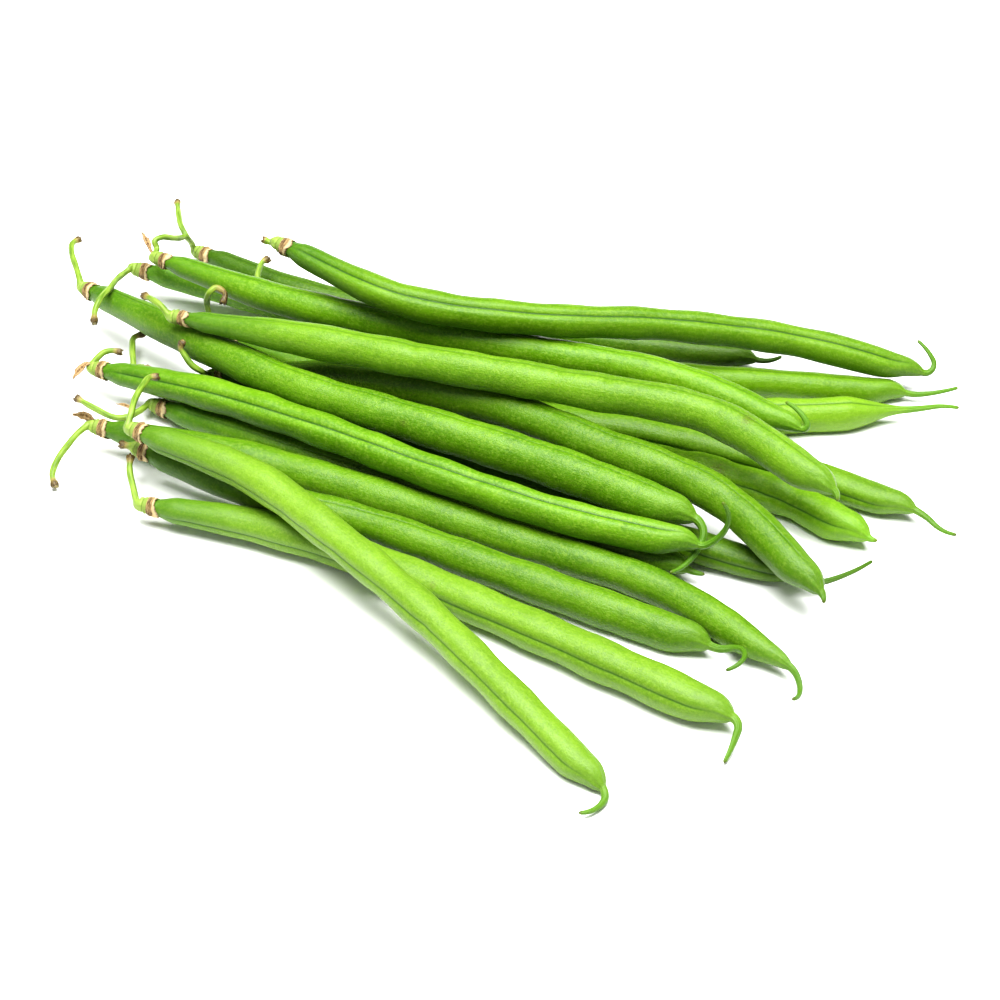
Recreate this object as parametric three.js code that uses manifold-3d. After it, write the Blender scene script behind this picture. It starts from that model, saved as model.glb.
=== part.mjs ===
import * as THREE from "three";
import { mergeVertices } from "three/addons/utils/BufferGeometryUtils.js";
import Module from "manifold-3d";

// A loose bundle of fresh green beans that lie as a heap. All sizes are millimetres and angles degrees.
// +X runs from the stalks to the beaks, +Y away from the front bean, +Z up from the surface.

// Each bean, from the back and the bottom of the heap to its front and top.
// neck and tip: where the pod's centreline starts and ends.
// bow: how far the centreline lies to the left of the straight line from neck to tip, at each fifth.
// arch: how far its middle rises over that line.
// girth: the pod's thickness at the neck, in the middle and toward the tip.
// seam: where the pod's seam lies, turned up from its left side.
// beak: the thin end past the tip, as curls of a length that turn by an angle toward a side.
// stalk: where the stalk runs, measured from the neck.
const BEANS = [
  {
    name: "01",
    neck: [-74.5, 89.5, 3.2],
    tip: [60, 48, 3],
    bow: [-7, -7.5, -5, -3],
    arch: 0,
    girth: [5.5, 6.8, 6.6],
    seam: 90,
    beak: [[6.5, 40, 20]],
    stalk: [[-3.5, 1, 3], [-4, -4, 9], [-5.5, -1, 10], [-6.5, 4, 9.5], [-7.5, 11, 8.5]],
  },
  {
    name: "02",
    neck: [-88, 76, 8.5],
    tip: [22, 48, 3.2],
    bow: [0, -1.5, -1, 0],
    arch: -2,
    girth: [5.5, 7, 7],
    seam: 90,
    beak: [[4, 20, 0]],
    stalk: [
      [-4, -2.5, 2], [-5.5, -9.5, 5], [-6.5, -16.8, 7.5],
      [-8, -22.4, 8.7], [-9, -25.2, 7.5], [-9, -28, 6],
    ],
  },
  {
    name: "03",
    neck: [-57.5, 65, 11.5],
    tip: [94.5, 36.5, 2.2],
    bow: [-10, -11, -8.5, -4],
    arch: 0,
    girth: [5.5, 6.8, 6.8],
    seam: 85,
    beak: [[4, 10, 55], [9, 20, -10]],
    stalk: [[-2.5, 4, -0.8], [-2.5, 6.9, -0.4], [-1.5, 11, 0], [0, 12, 0]],
  },
  {
    name: "04",
    neck: [-36, 44.5, 4.8],
    tip: [92.5, 29, 3.7],
    bow: [-3.5, -6, -7.5, -5.5],
    arch: 0,
    girth: [5.5, 8.2, 8.2],
    seam: 100,
    beak: [[7.5, 5, 60], [6.5, 20, -135]],
    stalk: [[-7, 1.5, 0]],
  },
  {
    name: "05",
    neck: [-64, 53, 5.5],
    tip: [92, -6, 3.5],
    bow: [-5, -2.5, 3, 3.5],
    arch: 0,
    girth: [5.5, 7.7, 7.7],
    seam: 165,
    beak: [[5, 30, -165], [7, 35, 50]],
    stalk: [
      [-4.5, 4, 1], [-6.5, 3, 4.5], [-7, 2.9, 9], [-6, 2.2, 12.7],
      [-4.5, 3.2, 13.2], [-2.5, 2.2, 12.2], [-3, 0.4, 10.5],
    ],
  },
  {
    name: "06",
    neck: [-32, 27.5, 5.1],
    tip: [80.5, -15.5, 3.9],
    bow: [1.3, 4, 7.5, 7],
    arch: 0,
    girth: [5.5, 8.2, 8.6],
    seam: 150,
    beak: [[2.5, 30, 55]],
    stalk: [[-7, 2.5, 0]],
  },
  {
    name: "07",
    neck: [-85, 42.5, 3.5],
    tip: [66, -28.5, 3.5],
    bow: [-1.5, 0.8, 1.5, 0],
    arch: 0,
    girth: [5.5, 7.5, 7.5],
    seam: 162,
    beak: [[5, 45, 5], [12, 25, -15]],
    stalk: [[-2, 1.5, 0.5], [-3.5, 4, 1], [-4, 8, 1.5], [-4, 12, 1.5], [-1.5, 13.5, 1.5]],
  },
  {
    name: "08",
    neck: [-67, 39.5, 5.5],
    tip: [67.5, -39, 9.9],
    bow: [8, 13, 12.5, 12.5],
    arch: 7.9,
    girth: [5.7, 8.6, 8.6],
    seam: 85,
    beak: [[3, 50, -170]],
    stalk: [
      [-2, -2, 2], [-4, -4.4, 5], [-6, -4.6, 7],
      [-7.5, -3.6, 8.8], [-8.5, -2.8, 10.5], [-8, -1.8, 12],
    ],
  },
  {
    name: "09",
    neck: [-80, 30, 3.5],
    tip: [40, -25.5, 3.5],
    bow: [-0.5, -0.5, 0, 0.5],
    arch: 0,
    girth: [5.5, 7.5, 7.5],
    seam: 120,
    beak: [[4, 20, 0]],
    stalk: [
      [-3, -0.5, 0.5], [-5.5, -2.5, 1], [-8, -4.5, 1],
      [-11, -4.5, 1], [-15.5, -2, 1.5], [-20.5, 1.5, 2],
    ],
  },
  {
    name: "10",
    neck: [-100, 65.5, 10.5],
    tip: [41.5, -18, 11.9],
    bow: [-5.5, -9.2, -6.3, -2.5],
    arch: 4,
    girth: [5.9, 8.4, 9.5],
    seam: 85,
    beak: [[5, 85, -145], [12.5, 60, 125]],
    stalk: [[-3, 3.5, 0.5], [-4.5, 8.5, 1], [-6, 13.5, 1], [-6.5, 18.5, 0.5], [-5, 21, 0]],
  },
  {
    name: "11",
    neck: [-92.5, 18.5, 7.1],
    tip: [60, -55.5, 3.9],
    bow: [5.5, 8, 9, 9.5],
    arch: 0,
    girth: [5.5, 8.2, 7.7],
    seam: 90,
    beak: [[3, 35, -130], [8, 95, 145]],
    stalk: [
      [-3, 0, 0.5], [-5.5, -1.5, 0], [-8, -4.5, -1.5],
      [-10, -7.5, -3], [-11, -11, -4.5], [-10, -14, -5.5],
    ],
  },
  {
    name: "12",
    neck: [-82, 9.4, 7.9],
    tip: [43.5, -49, 3.4],
    bow: [-1, 1.5, 1, 0.5],
    arch: 0,
    girth: [5.9, 7.7, 8.4],
    seam: 95,
    beak: [[4.5, 30, 55], [12.5, 175, 170]],
    stalk: [[-6, 2, 0.5]],
  },
  {
    name: "13",
    neck: [-79, -6.5, 5.4],
    tip: [47, -71, 4.4],
    bow: [6, 7, 5, 2.5],
    arch: 0,
    girth: [5.7, 8.2, 9.5],
    seam: 187,
    beak: [[3.5, 80, -155], [7.5, 10, 155]],
    stalk: [[-2.5, 1.5, 0.5], [-5, 6, 1], [-6, 10, 2], [-6, 13.5, 3.5]],
  },
  {
    name: "14",
    neck: [-94.5, 38.5, 7.9],
    tip: [42, -25.5, 10.9],
    bow: [0, -2.5, -5.5, -5.5],
    arch: 4,
    girth: [5.7, 8.2, 7.7],
    seam: 140,
    beak: [[2, 40, 72], [15.5, 90, 96]],
    stalk: [[-2, 3.5, 1], [-0.5, 4.5, 1.5], [1.5, 5.5, 1.5], [4, 5.5, 1]],
  },
  {
    name: "15",
    neck: [-82, 70, 16.2],
    tip: [67.5, 14.5, 10.1],
    bow: [-5, -4, -0.5, 4],
    arch: 3,
    girth: [5, 7.5, 7.5],
    seam: 85,
    beak: [[3, 140, 55], [7, 40, -55]],
    stalk: [[-2.5, 5, 0], [-3, 6, 1.5], [-1.5, 7.5, 1.5], [1, 10.5, -1], [2.5, 14, -3.5]],
  },
  {
    name: "16",
    neck: [-51.5, 59, 28.6],
    tip: [98.5, 40, 5.7],
    bow: [-14, -13, -5.5, -0.5],
    arch: 4,
    girth: [5.7, 8, 7.7],
    seam: 111,
    beak: [[5.5, 130, 40], [6, 30, -70]],
    stalk: [[-3.5, 3.5, -1.5], [-6, 4.5, -1]],
  },
  {
    name: "17",
    neck: [-75, 42, 20.7],
    tip: [71.5, -17.7, 19.8],
    bow: [1, 3, 7, 11],
    arch: 4,
    girth: [4.5, 8.2, 8.6],
    seam: 85,
    beak: [[2.5, 70, -150]],
    stalk: [[-2.5, 1, 1], [-5.5, 3, 1.5], [-8, 5.5, 1.5], [-10, 7.5, 1]],
  },
  {
    name: "18",
    neck: [-82, 7, 15.7],
    tip: [19.5, -88, 1.4],
    bow: [7.5, 7.5, 6, 3],
    arch: 3,
    girth: [5.9, 8.2, 8.2],
    seam: 183,
    beak: [[3.5, 70, 175], [6.5, 55, 170]],
    stalk: [[-1.5, 1, 1], [-2.5, 4.5, 2], [-2, 9, 2.5], [-0.5, 14, 2.5], [0.5, 17, 2], [2.5, 18, 1.5]],
  },
];

// Dried flakes and bracts that are left on four of the necks, measured from the bean's neck.
const FLAKES = [
  { bean: "15", route: [[-3.8, 2.9, 1.2], [-4.9, 4.5, 2.8], [-6, 6.5, 4]], width: 2 },
  { bean: "14", route: [[-3.6, 1.5, 1], [-5.4, 0.3, 0], [-7.2, -1.5, -1.5]], width: 2.2 },
  { bean: "11", route: [[-2.6, 1.4, 1.7], [-4.4, 2, 2.5], [-7, 1.4, 3]], width: 2.4 },
  { bean: "09", route: [[-6.7, -2.7, 2.1], [-8.4, -2.3, 2.7], [-10.5, -2, 3]], width: 0.9 },
];
const FLAKE_THICKNESS = 0.7;

// The stalk of this bean branches off the stalk of the other, as both pods grew on one stem.
const BRANCH = { from: "15", onto: "01", joint: 2 };

const POD_SIDES = 10;
const POD_STEPS = 21;
const BEAK_STEPS = 5;
const NECK_END = 0.62;
const NECK_LENGTH = 6;
const SHOULDER = 0.22;
const TIP_START = 0.93;
const TIP_STEPS = 5;
const TIP_THICKNESS = 0.23;
// How blunt each pod's end is: 0 draws it out long, 1 rounds it.
const BLUNT = { "03": 0.95, "04": 0.1, "07": 0.5, 11: 0.5, 13: 0.8, 15: 0.7, 16: 0.7, usual: 0.9 };
// The beak starts at the lower side of the pod's end, as the end leans up and away from it.
const TIP_LEAN = 0.9;
const TIP_LEAN_TURN = 48;
const TIP_LEAN_PLACE = 3;
const TIP_LEAN_SPREAD = 3.5;
const BEAK_END_RADIUS = 0.4;
const BEAK_TAPER = 0.8;
const SEED_PITCH = 16;
const SEED_SWELL = 0.025;
const SECTION_DEPTH = 0.03;
const OUTWARD = 1.02;

const CALYX_SIDES = 8;
const CALYX_LENGTH = 1.9;
const CALYX_CUP = 0.9;
const CALYX_WALL = 0.62;
const CLEARANCE = 0.32;

const STALK_SIDES = 6;
const STALK_RADIUS = 0.95;
const STALK_ROOT_RADIUS = 1.45;
const STALK_ROOT_LENGTH = 3;
const STALK_END_RADIUS = 1.15;
const STALK_STEP = 2.2;
const STALK_STRAIGHT = 1.2;

const ROUTE_STEPS = 12;
const CURL_STEPS = 8;
const CENTRE_SHIFT = [0.1, -2.8];

const COLOURS = {
  pod: { color: 0x74b32c, roughness: 0.45, metalness: 0 },
  calyx: { color: 0xb08a5a, roughness: 0.85, metalness: 0 },
  stalk: { color: 0x93c446, roughness: 0.5, metalness: 0 },
  flake: { color: 0xa87a48, roughness: 0.9, metalness: 0 },
};

const UP = new THREE.Vector3(0, 0, 1);
const wasm = await Module();
wasm.setup();

function ease(from, to, value) {
  const share = THREE.MathUtils.clamp((value - from) / (to - from), 0, 1);
  return share * share * (3 - 2 * share);
}

function vector(values) {
  return new THREE.Vector3(values[0], values[1], values[2]);
}

// The left and upper sides of something that runs along a direction.
function sidesOf(direction) {
  const left = new THREE.Vector3().crossVectors(UP, direction).normalize();
  const over = new THREE.Vector3().crossVectors(direction, left);
  return { left, over };
}

function smoothRoute(points) {
  const curve = new THREE.CatmullRomCurve3(points, false, "centripetal");
  return curve.getPoints(ROUTE_STEPS * (points.length - 1));
}

// A route as a chain of points, with how far along each is and the side that stays left.
class Route {
  constructor(points) {
    this.points = points;
    this.run = [0];
    for (let i = 1; i < points.length; i += 1) {
      this.run.push(this.run[i - 1] + points[i].distanceTo(points[i - 1]));
    }
    this.directions = points.map((point, i) => {
      const before = points[Math.max(i - 1, 0)];
      const after = points[Math.min(i + 1, points.length - 1)];
      return new THREE.Vector3().subVectors(after, before).normalize();
    });
    this.lefts = [sidesOf(this.directions[0]).left];
    for (let i = 1; i < points.length; i += 1) {
      const direction = this.directions[i];
      const left = this.lefts[i - 1].clone();
      left.addScaledVector(direction, -left.dot(direction)).normalize();
      this.lefts.push(left);
    }
    this.length = this.run[points.length - 1];
  }

  at(distance) {
    let i = 1;
    while (i < this.run.length - 1 && this.run[i] < distance) {
      i += 1;
    }
    const share = (distance - this.run[i - 1]) / (this.run[i] - this.run[i - 1]);
    const point = this.points[i - 1].clone().lerp(this.points[i], share);
    const direction = this.directions[i - 1].clone().lerp(this.directions[i], share).normalize();
    const left = this.lefts[i - 1].clone().lerp(this.lefts[i], share);
    left.addScaledVector(direction, -left.dot(direction)).normalize();
    const over = new THREE.Vector3().crossVectors(direction, left);
    return { point, left, over };
  }
}

// The chain of points of one curl, and the direction in which it ends.
function curl(start, direction, [length, turn, toward]) {
  const { left, over } = sidesOf(direction);
  const angle = THREE.MathUtils.degToRad(toward);
  const side = left.multiplyScalar(Math.cos(angle)).addScaledVector(over, Math.sin(angle));
  const bend = THREE.MathUtils.degToRad(turn);
  const points = [];
  let last = start;
  for (let i = 0; i < CURL_STEPS; i += 1) {
    const now = (bend * (i + 0.5)) / CURL_STEPS;
    last = last.clone();
    last.addScaledVector(direction, (length / CURL_STEPS) * Math.cos(now));
    last.addScaledVector(side, (length / CURL_STEPS) * Math.sin(now));
    points.push(last);
  }
  const end = direction.clone().multiplyScalar(Math.cos(bend)).addScaledVector(side, Math.sin(bend));
  return { points, end };
}

// The pod's centreline from its neck to its tip.
function podPoints(bean) {
  const neck = vector(bean.neck);
  const tip = vector(bean.tip);
  const along = new THREE.Vector3(tip.x - neck.x, tip.y - neck.y, 0).normalize();
  const left = new THREE.Vector3(-along.y, along.x, 0);
  const bows = [0, ...bean.bow, 0];
  const points = bows.map((bow, i) => {
    const share = i / (bows.length - 1);
    const point = neck.clone().lerp(tip, share).addScaledVector(left, bow);
    point.z += 4 * bean.arch * share * (1 - share);
    return point;
  });
  return smoothRoute(points);
}

function podRoute(bean) {
  const points = podPoints(bean);
  const bodyLength = new Route(points).length;
  let last = points[points.length - 1];
  let direction = new THREE.Vector3().subVectors(last, points[points.length - 2]).normalize();
  for (const leg of bean.beak) {
    const made = curl(last, direction, leg);
    points.push(...made.points);
    direction = made.end;
    last = points[points.length - 1];
  }
  return { route: new Route(points), bodyLength };
}

function podRadius(bean, distance, bodyLength, wholeLength) {
  const [neck, middle, far] = bean.girth.map((thickness) => thickness / 2);
  const share = distance / bodyLength;
  const tipRadius = far * TIP_THICKNESS;
  if (share > 1) {
    const past = (distance - bodyLength) / (wholeLength - bodyLength);
    return THREE.MathUtils.lerp(tipRadius, BEAK_END_RADIUS, past ** BEAK_TAPER);
  }
  let radius = neck * THREE.MathUtils.lerp(NECK_END, 1, ease(0, NECK_LENGTH, distance));
  radius += (middle - neck) * ease(0, SHOULDER, share);
  radius += (far - middle) * ease(0.35, 0.8, share);
  const blunt = BLUNT[bean.name] ?? BLUNT.usual;
  const near = THREE.MathUtils.clamp((share - TIP_START) / (1 - TIP_START), 0, 1);
  const rounded = 1 - (1 - near ** 2) ** 0.75;
  const drawnOut = ease(TIP_START - 0.04, 1, share);
  radius = THREE.MathUtils.lerp(radius, tipRadius, THREE.MathUtils.lerp(drawnOut, rounded, blunt));
  const seeds = ease(0.08, 0.2, share) * (1 - ease(0.8, 0.92, share));
  const phase = Number(bean.name);
  return radius * (1 + seeds * SEED_SWELL * Math.cos((2 * Math.PI * distance) / SEED_PITCH + phase));
}

// A solid from a three.js geometry: one closed skin with no collapsed faces.
function closed(geometry) {
  const bare = new THREE.BufferGeometry();
  bare.setAttribute("position", geometry.getAttribute("position"));
  bare.setIndex(geometry.getIndex());
  const merged = mergeVertices(bare, 1e-3);
  const index = merged.getIndex().array;
  const kept = [];
  for (let i = 0; i < index.length; i += 3) {
    const [a, b, c] = [index[i], index[i + 1], index[i + 2]];
    if (a !== b && b !== c && a !== c) {
      kept.push(a, b, c);
    }
  }
  merged.setIndex(kept);
  return merged;
}

// A lathe of (distance, radius) pairs whose axis is laid along a route.
// shape gives the reach left and up of a point on the section, from its turn and its pair.
function laidAlong(route, profile, sides, shape) {
  const outline = profile.map(([distance, radius]) => new THREE.Vector2(radius, distance));
  const geometry = new THREE.LatheGeometry(outline, sides);
  const position = geometry.getAttribute("position");
  const places = profile.map(([distance]) => {
    const inside = THREE.MathUtils.clamp(distance, 0, route.length);
    const place = route.at(inside);
    const direction = new THREE.Vector3().crossVectors(place.left, place.over);
    place.point.addScaledVector(direction, distance - inside);
    return place;
  });
  for (let i = 0; i < position.count; i += 1) {
    const station = i % profile.length;
    const step = Math.floor(i / profile.length) % sides;
    const turn = (2 * Math.PI * step) / sides;
    const [reachLeft, reachUp] = shape(turn, profile[station], station);
    const point = places[station].point.clone();
    point.addScaledVector(places[station].left, reachLeft);
    point.addScaledVector(places[station].over, reachUp);
    point.z = Math.max(point.z, 0);
    position.setXYZ(i, point.x, point.y, point.z);
  }
  return closed(geometry);
}

function roundSection(turn, [, radius]) {
  return [radius * Math.cos(turn), radius * Math.sin(turn)];
}

function podGeometry(bean) {
  const { route, bodyLength } = podRoute(bean);
  const distances = [0, 1.2];
  const full = bodyLength * TIP_START;
  for (let i = 1; i <= POD_STEPS; i += 1) {
    distances.push((full * i) / POD_STEPS);
  }
  distances.splice(3, 0, (full * 1.5) / POD_STEPS);
  for (let i = 1; i <= TIP_STEPS; i += 1) {
    distances.push(full + (bodyLength - full) * Math.sin((Math.PI / 2) * (i / TIP_STEPS)));
  }
  for (let i = 1; i <= BEAK_STEPS; i += 1) {
    distances.push(bodyLength + ((route.length - bodyLength) * i) / BEAK_STEPS);
  }
  const profile = distances.map((distance) => {
    return [distance, podRadius(bean, distance, bodyLength, route.length)];
  });
  profile.unshift([0, 0]);
  profile.push([route.length, 0]);
  const seam = THREE.MathUtils.degToRad(bean.seam);
  const leanTurn = THREE.MathUtils.degToRad(TIP_LEAN_TURN);
  const most = TIP_LEAN * (BLUNT[bean.name] ?? BLUNT.usual);
  return laidAlong(route, profile, POD_SIDES, (turn, [distance, radius]) => {
    const reach = radius * OUTWARD * (1 + SECTION_DEPTH * Math.cos(2 * (turn - seam)));
    const lean = most * Math.exp(-(((bodyLength - TIP_LEAN_PLACE - distance) / TIP_LEAN_SPREAD) ** 2));
    const left = reach * Math.cos(turn) + lean * Math.cos(leanTurn);
    const up = reach * Math.sin(turn) + lean * Math.sin(leanTurn);
    return [left, up];
  });
}

// A route that starts in the neck and runs back, away from the pod.
function neckRoute(bean, length) {
  const { route } = podRoute(bean);
  const { point, left, over } = route.at(0);
  const back = new THREE.Vector3().crossVectors(over, left);
  const start = point.clone().addScaledVector(back, -CALYX_CUP);
  return new Route([start, point, point.clone().addScaledVector(back, length)]);
}

// The dry collar: a cup round the pod's neck end, closed at the back.
function calyxGeometry(bean) {
  const route = neckRoute(bean, CALYX_LENGTH + 1);
  const inner = podRadius(bean, CALYX_CUP, 100, 110) * (1 + SECTION_DEPTH) * OUTWARD + CLEARANCE;
  const outer = inner + CALYX_WALL;
  const floor = CALYX_CUP + CLEARANCE;
  const back = CALYX_CUP + CALYX_LENGTH;
  const profile = [
    [floor, 0],
    [floor, inner - 0.1],
    [0, inner],
    [0, outer],
    [CALYX_CUP, outer * 0.98],
    [(CALYX_CUP + back) / 2, outer * 0.86],
    [back, STALK_ROOT_RADIUS + 0.1],
    [back, 0],
  ];
  const phase = Number(bean.name) * 1.7;
  return laidAlong(route, profile, CALYX_SIDES, (turn, [, radius], station) => {
    const rough = station > 2 && station < 6 ? 1 + 0.05 * Math.sin(3 * turn + phase) : 1;
    return [radius * rough * Math.cos(turn), radius * rough * Math.sin(turn)];
  });
}

function stalkRoute(bean, tail) {
  const start = CALYX_CUP + CALYX_LENGTH + CLEARANCE;
  const back = neckRoute(bean, 2 * start);
  const straight = [back.at(start).point, back.at(start + STALK_STRAIGHT).point];
  const neck = vector(bean.neck);
  const reach = CALYX_LENGTH + CLEARANCE + 2 * STALK_STRAIGHT;
  const points = bean.stalk.map((step) => vector(step)).filter((step) => step.length() > reach);
  return new Route(smoothRoute([...straight, ...points.map((step) => step.add(neck)), ...tail]));
}

function stalkGeometry(bean, tail = []) {
  const route = stalkRoute(bean, tail);
  const steps = Math.max(3, Math.round(route.length / STALK_STEP));
  const profile = [[0, 0]];
  for (let i = 0; i <= steps; i += 1) {
    const distance = (route.length * i) / steps;
    const root = 1 - ease(0, Math.min(STALK_ROOT_LENGTH, route.length), distance);
    const end = tail.length ? 0 : ease(route.length - 3, route.length, distance);
    let radius = THREE.MathUtils.lerp(STALK_RADIUS, STALK_ROOT_RADIUS, root);
    radius += (STALK_END_RADIUS - STALK_RADIUS) * end * (1 - root);
    profile.push([distance, radius]);
  }
  profile.push([route.length, 0]);
  return laidAlong(route, profile, STALK_SIDES, roundSection);
}

function flakeGeometry(flake, bean) {
  const neck = vector(bean.neck);
  const route = new Route(smoothRoute(flake.route.map((step) => vector(step).add(neck))));
  const profile = [0, 0, 0.3, 0.6, 0.85, 1, 1].map((share, i) => {
    const full = [0, 0.45, 1, 1, 0.7, 0.4, 0][i];
    return [route.length * share, (flake.width / 2) * full];
  });
  return laidAlong(route, profile, STALK_SIDES, (turn, [, radius]) => {
    const thick = Math.min(radius, FLAKE_THICKNESS / 2 / Math.cos(Math.PI / STALK_SIDES));
    return [radius * Math.cos(turn), thick * Math.sin(turn)];
  });
}

function solid(geometry) {
  const vertProperties = new Float32Array(geometry.getAttribute("position").array);
  const triVerts = new Uint32Array(geometry.getIndex().array);
  return new wasm.Manifold(new wasm.Mesh({ numProp: 3, vertProperties, triVerts }));
}

function joined(first, second) {
  const mesh = solid(first).add(solid(second)).getMesh();
  const geometry = new THREE.BufferGeometry();
  geometry.setAttribute("position", new THREE.BufferAttribute(mesh.vertProperties, 3));
  geometry.setIndex(new THREE.BufferAttribute(mesh.triVerts, 1));
  return geometry;
}

const bundle = new THREE.Group();
bundle.name = "green_bean_bundle";

function addPiece(name, geometry, kind) {
  geometry.translate(CENTRE_SHIFT[0], CENTRE_SHIFT[1], 0);
  geometry.computeVertexNormals();
  const mesh = new THREE.Mesh(geometry, new THREE.MeshStandardMaterial(COLOURS[kind]));
  mesh.name = name;
  bundle.add(mesh);
}

function beanNamed(name) {
  return BEANS.find((bean) => bean.name === name);
}

for (const bean of BEANS) {
  addPiece(`pod_${bean.name}`, podGeometry(bean), "pod");
  addPiece(`calyx_${bean.name}`, calyxGeometry(bean), "calyx");
  if (bean.name === BRANCH.onto) {
    const joint = vector(bean.stalk[BRANCH.joint - 1]).add(vector(bean.neck));
    const branch = stalkGeometry(beanNamed(BRANCH.from), [joint]);
    addPiece(`stalk_${bean.name}_and_${BRANCH.from}`, joined(stalkGeometry(bean), branch), "stalk");
  } else if (bean.name !== BRANCH.from) {
    addPiece(`stalk_${bean.name}`, stalkGeometry(bean), "stalk");
  }
}
for (const flake of FLAKES) {
  addPiece(`flake_${flake.bean}`, flakeGeometry(flake, beanNamed(flake.bean)), "flake");
}

export default bundle;
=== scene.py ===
"""A lying bundle of fresh green beans, dressed for a studio render."""

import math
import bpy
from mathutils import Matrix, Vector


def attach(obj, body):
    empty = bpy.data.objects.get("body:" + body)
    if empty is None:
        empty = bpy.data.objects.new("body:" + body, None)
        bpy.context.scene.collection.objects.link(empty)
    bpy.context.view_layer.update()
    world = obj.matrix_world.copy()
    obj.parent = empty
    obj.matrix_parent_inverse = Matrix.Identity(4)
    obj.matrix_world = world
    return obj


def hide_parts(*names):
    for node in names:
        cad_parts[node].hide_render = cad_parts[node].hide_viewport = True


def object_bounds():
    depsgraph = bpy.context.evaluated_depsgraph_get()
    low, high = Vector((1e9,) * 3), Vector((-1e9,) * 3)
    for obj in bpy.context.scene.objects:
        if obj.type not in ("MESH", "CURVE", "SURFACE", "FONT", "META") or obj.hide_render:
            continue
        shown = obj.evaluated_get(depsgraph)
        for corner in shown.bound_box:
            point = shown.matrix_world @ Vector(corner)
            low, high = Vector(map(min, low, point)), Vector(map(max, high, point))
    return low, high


bl_info = {
    "name": "Green Bean Bundle",
    "version": (1, 0, 0),
    "blender": (4, 5, 0),
    "location": "View3D > Sidebar > Green Beans",
    "description": "Makes the pods, collars, stalks and flakes of a bean bundle, and its studio",
    "category": "Object",
}

import bpy
import numpy as np
from bpy.props import FloatProperty, FloatVectorProperty, IntProperty, PointerProperty
from mathutils import Vector
from mathutils.kdtree import KDTree

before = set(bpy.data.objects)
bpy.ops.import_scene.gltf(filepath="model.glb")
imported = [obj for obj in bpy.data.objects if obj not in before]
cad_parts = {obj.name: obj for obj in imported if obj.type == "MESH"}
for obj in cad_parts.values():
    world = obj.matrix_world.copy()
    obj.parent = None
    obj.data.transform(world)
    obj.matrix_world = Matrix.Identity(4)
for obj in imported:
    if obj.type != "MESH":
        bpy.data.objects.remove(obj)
CAD_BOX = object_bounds()
MM = 0.001

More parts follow.
